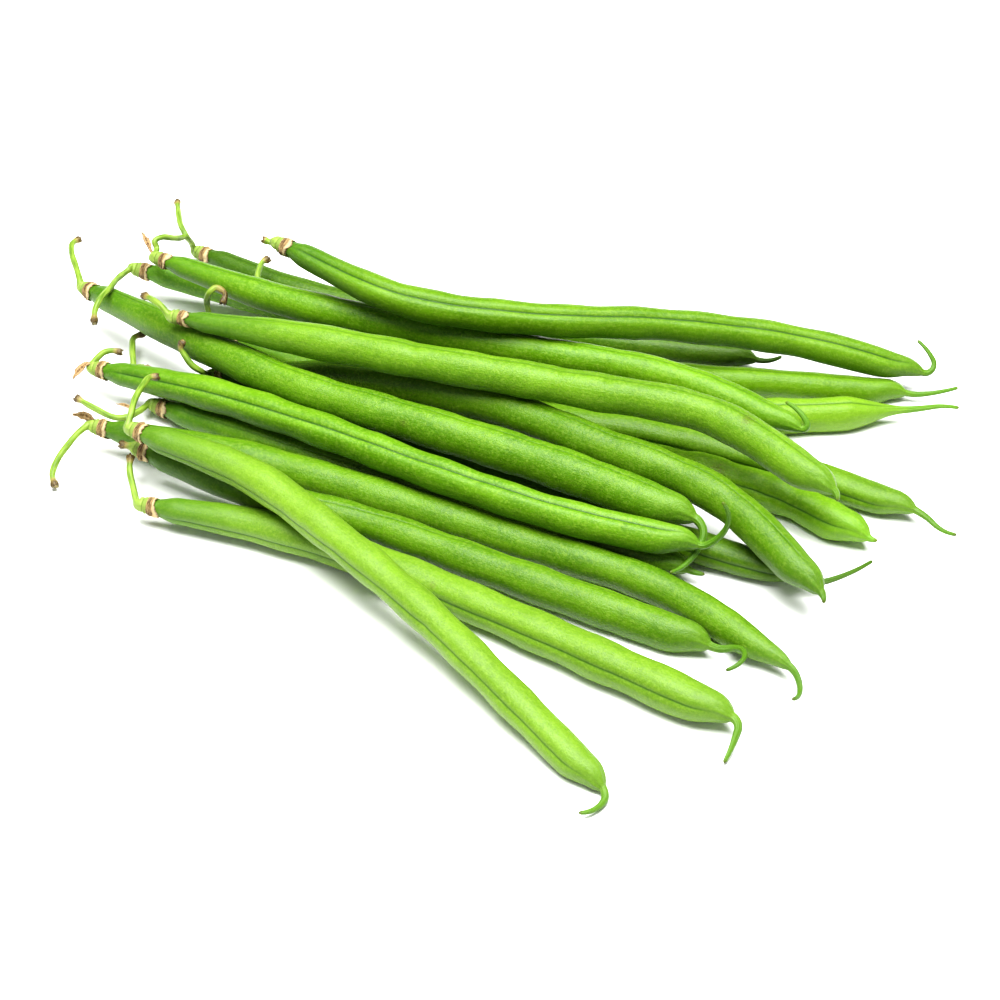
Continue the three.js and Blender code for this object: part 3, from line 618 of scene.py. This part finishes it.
def stalk_mesh(bean, rng, tail=()):
    """One stalk, with a dried, torn end where no tail joins it to another."""
    free = not len(tail)
    route = stalk_route(bean, tail)
    distances = np.linspace(0, route.length, max(STALK_RINGS, int(route.length / STALK_PITCH)))
    far = distances[:, None]
    turn = around(STALK_SIDES)
    root = 1 - ease(0, min(STALK_ROOT_LENGTH, 0.8 * route.length), distances)
    end = distances - route.length
    radius = STALK_RADIUS + ROOT_FLARE * root ** 1.3 + 0.05 * waves(rng, distances, 7)
    radius = radius + 0.12 * bell(distances - 0.5, 0.7)
    if free:
        radius = radius + 0.18 * bell(end + 0.7, 0.7)
        radius = radius - 0.1 * bell(end + 2.4, 0.9) - 0.1 * bell(end, 0.2)
    reach = radius[:, None] * (1 + 0.06 * np.cos(5 * turn + rng.uniform(0, 6) + 0.15 * far))
    if free:
        crust = ripple(rng, turn, 2) + 0.8 * ripple(rng, turn, 5)
        reach = reach * (1 + 0.12 * crust * bell(end + 0.3, 0.9)[:, None])
    rings = lay(route, distances, reach * np.cos(turn), reach * np.sin(turn))
    to_cut = NO_CUT
    if free:
        _, directions, _, _ = route.at(distances[-1:])
        torn = 0.22 * ripple(rng, turn, 2) + 0.16 * ripple(rng, turn, 5)
        rim = rings[-1] + torn[:, None] * directions
        middle = rim.mean(axis=0)
        sunk = 0.15 * directions
        face = [middle + share * (rim - middle) - (1 - share) * sunk for share in CUT_RINGS]
        rings = np.concatenate([rings[:-1], [rim], face])
        far = np.vstack([far, far[-1:] + 0.4, far[-1:] + 0.8])
        reach = np.vstack([reach, *(share * reach[-1:] for share in CUT_RINGS)])
        to_cut = (route.length - far) / DRIED.get(bean["name"], 1)
    values = {"straight": unrolled(far, reach, turn), "to_cut": to_cut, "from_collar": far}
    return tube_mesh(f"stalk_{bean['name']}", rings, values)


def joint_mesh(centre, rng):
    """The swollen joint of a forked stalk, with brown scars."""
    tall = np.linspace(-1.25, 1.25, JOINT_RINGS)[:, None]
    turn = around(STALK_SIDES)
    radius = np.sqrt(np.maximum(JOINT_RADIUS ** 2 - tall ** 2, 0.01))
    reach = radius * (1 + 0.1 * ripple(rng, turn, 3) + 0.06 * np.sin(7 * turn + 2 * tall))
    route = Route([centre - [0, 0, 2], centre, centre + [0, 0, 2]])
    rings = lay(route, tall[:, 0] + 2, reach * np.cos(turn), reach * np.sin(turn))
    scar = ease(0.2, 0.9, np.sin(2 * turn + 1.2))[None, :]
    to_cut = NO_CUT - 28.5 * scar
    values = {"straight": unrolled(tall, reach, turn), "to_cut": to_cut, "from_collar": 12}
    return tube_mesh("joint", rings, values)


def fused_mesh(name, meshes, voxel):
    """One closed skin round several meshes, with the nearest point's values."""
    joined = bpy.data.meshes.new(name)
    places, faces = [], []
    kept = {"straight": [], "to_cut": [], "from_collar": []}
    for mesh in meshes:
        base = len(places)
        places += [vertex.co.copy() for vertex in mesh.vertices]
        faces += [[base + corner for corner in face.vertices] for face in mesh.polygons]
        for key, parts in kept.items():
            source = mesh.attributes[key]
            wide = source.data_type == "FLOAT_VECTOR"
            flat = np.empty(len(mesh.vertices) * (3 if wide else 1), np.float32)
            source.data.foreach_get("vector" if wide else "value", flat)
            parts.append(flat.reshape(len(mesh.vertices), -1))
    joined.from_pydata(places, [], faces)
    carrier = bpy.data.objects.new(name, joined)
    bpy.context.scene.collection.objects.link(carrier)
    remesh = carrier.modifiers.new("skin", "REMESH")
    remesh.mode = "VOXEL"
    remesh.voxel_size = voxel
    smooth = carrier.modifiers.new("soft", "SMOOTH")
    smooth.factor = 0.5
    smooth.iterations = 3
    shown = carrier.evaluated_get(bpy.context.evaluated_depsgraph_get())
    made = bpy.data.meshes.new_from_object(shown)
    bpy.data.objects.remove(carrier)
    tree = KDTree(len(places))
    for index, place in enumerate(places):
        tree.insert(place, index)
    tree.balance()
    nearest = [tree.find(vertex.co)[1] for vertex in made.vertices]
    for key, parts in kept.items():
        store(made, key, np.vstack(parts)[nearest])
    made.shade_smooth()
    return made


def flake_mesh(flake, settings):
    """A dry bract: a thin curled scale with a torn edge."""
    bean = BEANS[flake["bean"]]
    rng = np.random.default_rng(FLAKE_SEED + int(flake["bean"]))
    points = [np.array(step, float) + bean["neck"] for step in flake["route"]]
    stem = stalk_route(bean).points
    root = stem[np.argmin(np.linalg.norm(stem - points[0], axis=1))]
    route = Route(smooth_route([root + 0.25 * (points[0] - root), *points]))
    share = np.linspace(0, 1, FLAKE_RINGS)[:, None]
    turn = around(FLAKE_SIDES)[None, :]
    width = flake["width"] / 2 * (0.5 + 0.5 * ease(0.1, 0.45, share))
    width = width * (1 - 0.8 * ease(0.6, 1, share))
    torn = 0.12 * waves(rng, share * 10, 3)
    width = width * (1 + torn + 0.05 * waves(rng, share * 10 + turn, 0.9))
    across = np.cos(turn) * width
    thick = settings.thickness / MM / 2
    up = np.sin(turn) * thick * (0.6 + 0.4 * np.abs(np.sin(turn)))
    fold = 0.35 * (across / width) ** 2 * width + 0.12 * np.sin(9 * across + 6 * share)
    rings = lay(route, share[:, 0] * route.length, across, up + fold * ease(0.05, 0.4, share))
    flat = np.ones_like(across)
    straight = np.stack([share * route.length * flat, across, up * flat], axis=-1)
    values = {"straight": straight, "rim": np.abs(across / width), "dry": 1.0}
    return tube_mesh(f"flake_{flake['bean']}", rings, values)


def opaque(values):
    """A colour setting as a shader colour."""
    return (*values, 1.0)


class Finish:
    """A finish in the making: a Principled shader, and colours laid one over another."""

    def __init__(self, name, base):
        self.material = bpy.data.materials.new(name)
        self.material.use_nodes = True
        self.tree = self.material.node_tree
        self.shader = self.tree.nodes["Principled BSDF"]
        self.base = opaque(base)

    def feed(self, node, inputs):
        """Sets each named input of a node to a value, or links it."""
        for key, value in inputs.items():
            if isinstance(value, bpy.types.NodeSocket):
                self.tree.links.new(value, node.inputs[key])
            else:
                node.inputs[key].default_value = value

    def node(self, kind, inputs, **settings):
        """A shader node with its settings and its inputs."""
        made = self.tree.nodes.new(kind)
        for key, value in settings.items():
            setattr(made, key, value)
        self.feed(made, inputs)
        return made

    def kept(self, name, output="Fac"):
        """What the mesh keeps under this name for each of its points."""
        node = self.node("ShaderNodeAttribute", {}, attribute_name=name, attribute_type="GEOMETRY")
        return node.outputs[output]

    def noise(self, places, scale, detail, rough=0.55):
        """Smooth noise between 0 and 1."""
        inputs = {"Vector": places, "Scale": scale, "Detail": detail, "Roughness": rough}
        return self.node("ShaderNodeTexNoise", inputs).outputs["Fac"]

    def grain(self, places, along, across, detail):
        """Noise of one scale along a piece and another across it."""
        inputs = {"Vector": places, "Scale": (along, across, across)}
        return self.noise(self.node("ShaderNodeMapping", inputs).outputs[0], 1.0, detail)

    def step(self, value, start, end, low=0.0, high=1.0):
        """A smooth step of a value from low to high."""
        inputs = {"Value": value, "From Min": start, "From Max": end, "To Min": low, "To Max": high}
        return self.node("ShaderNodeMapRange", inputs, interpolation_type="SMOOTHSTEP").outputs[0]

    def maths(self, kind, first, second):
        """A sum, difference or product of two numbers."""
        return self.node("ShaderNodeMath", {0: first, 1: second}, operation=kind).outputs[0]

    def times(self, first, second):
        """A product of two numbers."""
        return self.maths("MULTIPLY", first, second)

    def cover(self, share, values):
        """Lays a colour over those below, as far as its share says."""
        inputs = {0: share, 6: self.base, 7: opaque(values)}
        self.base = self.node("ShaderNodeMix", inputs, data_type="RGBA").outputs[2]

    def done(self, height, strength, depth, inputs):
        """Gives the shader its colour, its relief and its other values."""
        relief = {"Height": height, "Strength": strength, "Distance": depth}
        normal = self.node("ShaderNodeBump", relief).outputs[0]
        self.feed(self.shader, {"Base Color": self.base, "Normal": normal, "IOR": 1.42, **inputs})
        return self.material


def pod_material(settings):
    """Fresh green skin: mottled, faintly streaked, cooler at the neck, paler at the tip."""
    skin = Finish("fresh pod skin", settings.skin)
    straight = skin.kept("straight", "Vector")
    along = skin.node("ShaderNodeSeparateXYZ", {"Vector": straight}).outputs["X"]
    to_tip = skin.kept("to_tip")
    broad = skin.grain(straight, 0.05, 0.22, 2.0)
    patches = skin.grain(straight, 0.35, 0.5, 3.0)
    streaks = skin.grain(straight, 0.1, 1.7, 2.0)
    speckle = skin.noise(straight, 1.3, 4.0, 0.75)
    fine = skin.noise(straight, 2.9, 3.0, 0.7)
    down = skin.noise(straight, 2.4, 4.0, 0.65)
    skin.cover(skin.step(broad, 0.35, 0.68), settings.light_skin)
    skin.cover(skin.step(patches, 0.45, 0.75, high=0.4), settings.deep_skin)
    skin.cover(skin.step(streaks, 0.5, 0.72, high=0.2), settings.light_skin)
    skin.cover(skin.kept("pale"), settings.pale_skin)
    skin.cover(skin.step(speckle, 0.46, 0.64, high=settings.mottling), settings.pale_skin)
    skin.cover(skin.step(fine, 0.5, 0.68, high=0.8 * settings.mottling), settings.deep_skin)
    skin.cover(skin.times(skin.kept("warm"), 0.5), settings.warm_skin)
    skin.cover(skin.step(along, 32.0, 1.0, high=0.5), settings.neck_skin)
    skin.cover(skin.step(to_tip, 14.0, 0.0, high=0.45), settings.tip_skin)
    # Paints the seam's dark line, partly its own colour and partly painted shade in the crease.
    skin.cover(skin.kept("seam"), settings.seam_line_and_crease_shade)
    skin.cover(skin.step(to_tip, 0.5, -3.0, high=0.6), settings.beak_skin)
    skin.cover(skin.step(skin.kept("to_end"), 1.1, 0.1, high=0.5), settings.dry_end)
    spot = skin.times(skin.kept("mark"), skin.step(fine, 0.35, 0.6))
    skin.cover(skin.times(spot, 0.6), settings.dry_end)
    # Lightens or darkens each pod as a whole: partly its own tone, partly painted light and shade.
    lit = {"Color": skin.base, "Value": skin.kept("light")}
    skin.base = skin.node("ShaderNodeHueSaturation", lit).outputs[0]
    height = skin.maths("ADD", skin.times(down, 0.6), skin.times(streaks, 0.3))
    smoothest, dullest = settings.roughness - 0.07, settings.roughness + 0.09
    return skin.done(height, 0.9, 0.00024, {
        "Roughness": skin.step(speckle, 0.3, 0.7, smoothest, dullest),
        "Subsurface Weight": settings.depth,
        "Subsurface Radius": (0.7, 1.0, 0.15),
        "Subsurface Scale": 1.6 * MM,
        "Sheen Weight": settings.bloom,
        "Sheen Roughness": 0.45,
        "Sheen Tint": (0.85, 1.0, 0.6, 1.0),
        "Specular IOR Level": 0.34,
    })


def paper_material(name, settings):
    """Dry tan paper with brown bands, going green at the knob behind it."""
    paper = Finish(name, settings.paper)
    straight = paper.kept("straight", "Vector")
    bands = paper.grain(straight, 3.2, 0.5, 3.0)
    flecks = paper.noise(straight, 2.6, 4.0, 0.7)
    paper.cover(paper.step(bands, 0.42, 0.6), settings.brown)
    paper.cover(paper.step(flecks, 0.55, 0.7, high=0.7), settings.pale_paper)
    # Darkens the creases: partly brown paper, partly painted shade.
    fold_brown_and_shade = paper.times(paper.kept("fold"), paper.step(flecks, 0.35, 0.6, 0.1, 0.9))
    paper.cover(fold_brown_and_shade, settings.brown)
    rim = paper.kept("rim")
    paper.cover(paper.step(rim, 0.1, 0.5, high=0.6), settings.pale_paper)
    edge = paper.times(paper.step(rim, 0.6, 1.0), paper.step(flecks, 0.4, 0.55, 0.3, 0.95))
    paper.cover(edge, settings.brown)
    dry = paper.maths("ADD", paper.kept("dry"), paper.times(flecks, 0.5))
    paper.cover(paper.step(dry, 0.5, 0.9, low=1.0, high=0.0), settings.knob)
    return paper.done(paper.maths("ADD", bands, flecks), 0.8, 0.00025, {
        "Roughness": settings.roughness,
        "Subsurface Weight": 0.12,
        "Subsurface Radius": (1.0, 0.7, 0.3),
        "Subsurface Scale": 0.5 * MM,
    })


def stalk_material(settings):
    """Pale lime stalk, ribbed lengthwise, with a dark dried end."""
    stalk = Finish("pale green stalk", settings.lime)
    straight = stalk.kept("straight", "Vector")
    to_cut = stalk.kept("to_cut")
    streaks = stalk.grain(straight, 0.25, 1.6, 2.0)
    flecks = stalk.noise(straight, 3.5, 3.0, 0.6)
    stalk.cover(stalk.step(streaks, 0.38, 0.66), settings.deep_lime)
    stalk.cover(stalk.step(stalk.kept("from_collar"), 4.0, 0.5, high=0.5), settings.pale_lime)
    dried = stalk.maths("SUBTRACT", to_cut, stalk.times(flecks, 1.6))
    stalk.cover(stalk.step(dried, 1.9, 0.5), settings.tan)
    patchy = stalk.step(flecks, 0.42, 0.56, 0.55, 1.0)
    stalk.cover(stalk.times(stalk.step(dried, 0.9, -0.1), patchy), settings.dark_end)
    stalk.cover(stalk.step(to_cut, -0.25, -0.6, high=0.75), settings.cut_face)
    height = stalk.maths("ADD", streaks, stalk.times(flecks, 0.6))
    return stalk.done(height, 0.5, 0.00015, {
        "Roughness": settings.roughness,
        "Subsurface Weight": 0.25,
        "Subsurface Radius": (0.8, 1.0, 0.2),
        "Subsurface Scale": 0.7 * MM,
    })


def floor_material(settings):
    """A plain pale matt surface."""
    floor = Finish("pale studio floor", settings.floor_colour)
    matt = {"Base Color": floor.base, "Roughness": 0.7, "Specular IOR Level": 0.2}
    floor.feed(floor.shader, matt)
    return floor.material


def colour_property(name, description, default):
    """A colour setting."""
    return FloatVectorProperty(
        name=name, description=description, subtype="COLOR", min=0.0, max=1.0, default=default
    )


def share_property(name, description, default):
    """A setting between 0 and 1."""
    return FloatProperty(
        name=name, description=description, subtype="FACTOR", min=0.0, max=1.0, default=default
    )


def amount_property(name, description):
    """How strong a form is, where 1 is as the beans have it."""
    return FloatProperty(name=name, description=description, default=1.0, min=0.0, max=2.0)


def unit_property(name, description, default, least=0.0, unit="LENGTH"):
    """A setting with a unit."""
    return FloatProperty(name=name, description=description, unit=unit, min=least, default=default)


class PodSettings(bpy.types.PropertyGroup):
    """Sizes and colours of the pods."""

    sides: IntProperty(name="Sides", description="Points round a pod", default=56, min=12, max=96)
    ring_pitch: unit_property("Ring Pitch", "Gap between a pod's rings", 0.00075, 0.0003)
    swell: amount_property("Seed Swell", "How far the seeds show")
    crease: amount_property("Crease", "How deep the seams lie")
    mottling: share_property("Mottling", "How strong the pale flecks are", 0.46)
    roughness: share_property("Roughness", "How dull the skin is", 0.38)
    depth: share_property("Depth", "How much of the light goes into the skin", 0.12)
    bloom: share_property("Bloom", "The soft down on the skin", 0.02)
    skin: colour_property("Skin", "The main green", (0.0735, 0.183, 0.001))
    light_skin: colour_property("Light Skin", "The lighter broad patches", (0.112, 0.245, 0.005))
    deep_skin: colour_property("Deep Skin", "The darker small patches", (0.0294, 0.103, 0.0))
    pale_skin: colour_property("Pale Flecks", "The pale flecks", (0.21, 0.335, 0.035))
    warm_skin: colour_property("Warm Skin", "The yellower pods", (0.103, 0.197, 0.001))
    neck_skin: colour_property("Neck", "The cooler green at the neck", (0.0319, 0.108, 0.00589))
    tip_skin: colour_property("Tip", "The paler green at the tip", (0.103, 0.206, 0.0197))
    beak_skin: colour_property("Beak", "The darker green of the beak", (0.06, 0.16, 0.006))
    # The seam line's colour, also used as painted shade in the crease.
    seam_line_and_crease_shade: colour_property("Seam", "The dark line of a seam", (0.0172, 0.0685, 0.000979))
    dry_end: colour_property("Dry End", "The brown of ends and marks", (0.0786, 0.0441, 0.0147))


class CollarSettings(bpy.types.PropertyGroup):
    """Colours and roughness of the dry collars."""

    ragged: amount_property("Ragged", "How torn the rim is")
    roughness: share_property("Roughness", "How dull the paper is", 0.75)
    paper: colour_property("Paper", "The tan paper", (0.36, 0.25, 0.1))
    pale_paper: colour_property("Pale Paper", "The palest flecks", (0.68, 0.56, 0.32))
    brown: colour_property("Brown", "The brown bands and the rim", (0.075, 0.036, 0.01))
    knob: colour_property("Knob", "The green behind the paper", (0.2, 0.29, 0.05))


class StalkSettings(bpy.types.PropertyGroup):
    """Colours and roughness of the stalks."""

    voxel: unit_property("Fork Detail", "Grain of the forked stalk's skin", 0.00013, 0.00008)
    roughness: share_property("Roughness", "How dull the stalk is", 0.5)
    lime: colour_property("Lime", "The main pale green", (0.2, 0.305, 0.035))
    deep_lime: colour_property("Deep Lime", "The darker streaks", (0.1, 0.19, 0.012))
    pale_lime: colour_property("Pale Lime", "The green next to the collar", (0.27, 0.37, 0.08))
    tan: colour_property("Tan", "The dried skin near the cut", (0.26, 0.2, 0.06))
    dark_end: colour_property("Dark End", "The dried skin at the cut", (0.05, 0.026, 0.008))
    cut_face: colour_property("Cut Face", "The cut itself", (0.32, 0.27, 0.11))


class FlakeSettings(bpy.types.PropertyGroup):
    """Thickness and colours of the dry flakes."""

    thickness: unit_property("Thickness", "Thickness of a flake", 0.0004, 0.0002)
    roughness: share_property("Roughness", "How dull the flake is", 0.8)
    paper: colour_property("Paper", "The light brown", (0.3, 0.18, 0.07))
    pale_paper: colour_property("Pale Paper", "The palest flecks", (0.5, 0.36, 0.18))
    brown: colour_property("Brown", "The dark edges", (0.09, 0.045, 0.018))
    knob: colour_property("Root", "The green at its root", (0.35, 0.42, 0.12))


class StudioSettings(bpy.types.PropertyGroup):
    """The floor, the lights and the camera."""

    floor_size: unit_property("Floor Size", "Side of the floor", 6.0)
    floor_colour: colour_property("Floor", "The pale floor", (0.92, 0.92, 0.92))
    sky: share_property("Sky", "Strength of the light from all round", 0.15)
    key: unit_property("Key Light", "Power of the light above", 21.0, unit="POWER")
    fill: unit_property("Fill Light", "Power of the light in front", 1.0, unit="POWER")
    lens: unit_property("Lens", "The camera's focal length", 103.0, unit="CAMERA")
    distance: unit_property("Distance", "From the camera to the heap", 0.65)
    elevation: unit_property("Elevation", "How far it looks down", math.radians(42), 0, "ROTATION")


class OBJECT_OT_bean_pods(bpy.types.Operator):
    """Make the eighteen pods, each with its seams, seed swellings, dents and curled beak"""

    bl_idname = "object.bean_pods"
    bl_label = "Pods"

    def execute(self, context):
        settings = context.scene.bean_pods
        material = pod_material(settings)
        for name, bean in BEANS.items():
            add_piece(f"bean_{name}_pod", pod_mesh(bean, settings), material, f"pod_{name}")
        return {"FINISHED"}


class OBJECT_OT_bean_collars(bpy.types.Operator):
    """Make the dry papery collar round each neck"""

    bl_idname = "object.bean_collars"
    bl_label = "Collars"

    def execute(self, context):
        settings = context.scene.bean_collars
        material = paper_material("dry collar paper", settings)
        for name, bean in BEANS.items():
            mesh = collar_mesh(bean, settings)
            add_piece(f"bean_{name}_collar", mesh, material, f"calyx_{name}")
        return {"FINISHED"}


class OBJECT_OT_bean_stalks(bpy.types.Operator):
    """Make the pale stalks with their brown ends, two of them forked from one stem"""

    bl_idname = "object.bean_stalks"
    bl_label = "Stalks"

    def execute(self, context):
        settings = context.scene.bean_stalks
        material = stalk_material(settings)
        rng = np.random.default_rng(STALK_SEED)
        for name, bean in BEANS.items():
            if name == BRANCH["start"]:
                continue
            if name == BRANCH["onto"]:
                fork = np.array(bean["stalk"][BRANCH["joint"] - 1], float) + bean["neck"]
                joint = joint_mesh(fork, rng)
                stem = stalk_mesh(bean, rng)
                branch = stalk_mesh(BEANS[BRANCH["start"]], rng, [fork])
                name = f"{name}_and_{BRANCH['start']}"
                mesh = fused_mesh(f"stalk_{name}", [stem, branch, joint], settings.voxel)
            else:
                mesh = stalk_mesh(bean, rng)
            add_piece(f"bean_{name}_stalk", mesh, material, f"stalk_{name}")
        return {"FINISHED"}


class OBJECT_OT_bean_flakes(bpy.types.Operator):
    """Make the dry flakes left on four of the stalks"""

    bl_idname = "object.bean_flakes"
    bl_label = "Flakes"

    def execute(self, context):
        settings = context.scene.bean_flakes
        material = paper_material("dry flake paper", settings)
        for flake in FLAKES:
            name = flake["bean"]
            mesh = flake_mesh(flake, settings)
            add_piece(f"bean_{name}_flake", mesh, material, f"flake_{name}")
        return {"FINISHED"}


def add_light(scene, name, place, side, power):
    """A square soft light that faces the heap."""
    data = bpy.data.lights.new(name, "AREA")
    data.size = side
    data.energy = power
    light = bpy.data.objects.new(name, data)
    light.location = place
    light.rotation_euler = Vector(place).to_track_quat("Z", "Y").to_euler()
    scene.collection.objects.link(light)


class OBJECT_OT_bean_studio(bpy.types.Operator):
    """Make the pale floor, the soft lights and the camera"""

    bl_idname = "object.bean_studio"
    bl_label = "Studio"

    def execute(self, context):
        scene = context.scene
        settings = scene.bean_studio
        half = settings.floor_size / 2
        corners = [(-half, -half), (half, -half), (half, half), (-half, half)]
        mesh = bpy.data.meshes.new("floor")
        mesh.from_pydata([(x, y, -FLOOR_DROP) for x, y in corners], [], [(0, 1, 2, 3)])
        mesh.materials.append(floor_material(settings))
        floor = bpy.data.objects.new("floor", mesh)
        scene.collection.objects.link(floor)
        world = bpy.data.worlds.new("studio")
        world.use_nodes = True
        sky = world.node_tree.nodes["Background"].inputs
        sky["Color"].default_value = (1, 1, 1, 1)
        sky["Strength"].default_value = settings.sky
        scene.world = world
        add_light(scene, "key", KEY_PLACE, KEY_SIDE, settings.key)
        add_light(scene, "fill", FILL_PLACE, FILL_SIDE, settings.fill)
        lens = bpy.data.cameras.new("camera")
        lens.lens = settings.lens
        lens.sensor_width = SENSOR_WIDTH
        lens.clip_start = 0.01
        camera = bpy.data.objects.new("camera", lens)
        aim = Vector(CENTRE_SHIFT * MM) + Vector(CAMERA_OFFSET)
        outward = Vector((0, -math.cos(settings.elevation), math.sin(settings.elevation)))
        camera.location = aim + outward * settings.distance
        camera.rotation_euler = outward.to_track_quat("Z", "Y").to_euler()
        scene.collection.objects.link(camera)
        scene.camera = camera
        scene.view_settings.view_transform = "Standard"
        scene.view_settings.look = "Medium High Contrast"
        return {"FINISHED"}


class VIEW3D_PT_green_beans(bpy.types.Panel):
    """Lists the pieces of the bundle and their settings"""

    bl_label = "Green Beans"
    bl_idname = "VIEW3D_PT_green_beans"
    bl_space_type = "VIEW_3D"
    bl_region_type = "UI"
    bl_category = "Green Beans"

    def draw(self, context):
        for group, operator, _ in STEPS:
            box = self.layout.box()
            box.operator(operator)
            settings = getattr(context.scene, group)
            for name in settings.bl_rna.properties.keys():
                if name not in ("rna_type", "name"):
                    box.prop(settings, name)


STEPS = (
    ("bean_pods", "object.bean_pods", PodSettings),
    ("bean_collars", "object.bean_collars", CollarSettings),
    ("bean_stalks", "object.bean_stalks", StalkSettings),
    ("bean_flakes", "object.bean_flakes", FlakeSettings),
    ("bean_studio", "object.bean_studio", StudioSettings),
)
CLASSES = (
    *(settings for _, _, settings in STEPS),
    OBJECT_OT_bean_pods, OBJECT_OT_bean_collars, OBJECT_OT_bean_stalks, OBJECT_OT_bean_flakes,
    OBJECT_OT_bean_studio, VIEW3D_PT_green_beans,
)


def register():
    """Adds the classes and the settings of each step."""
    for kind in CLASSES:
        bpy.utils.register_class(kind)
    for group, _, settings in STEPS:
        setattr(bpy.types.Scene, group, PointerProperty(type=settings))


def unregister():
    """Takes the settings and the classes away again."""
    for group, _, _ in STEPS:
        delattr(bpy.types.Scene, group)
    for kind in reversed(CLASSES):
        bpy.utils.unregister_class(kind)


def main():
    """Makes every piece in turn."""
    register()
    bpy.ops.object.bean_pods()
    bpy.ops.object.bean_collars()
    bpy.ops.object.bean_stalks()
    bpy.ops.object.bean_flakes()
    bpy.ops.object.bean_studio()


if __name__ == "__main__":
    main()
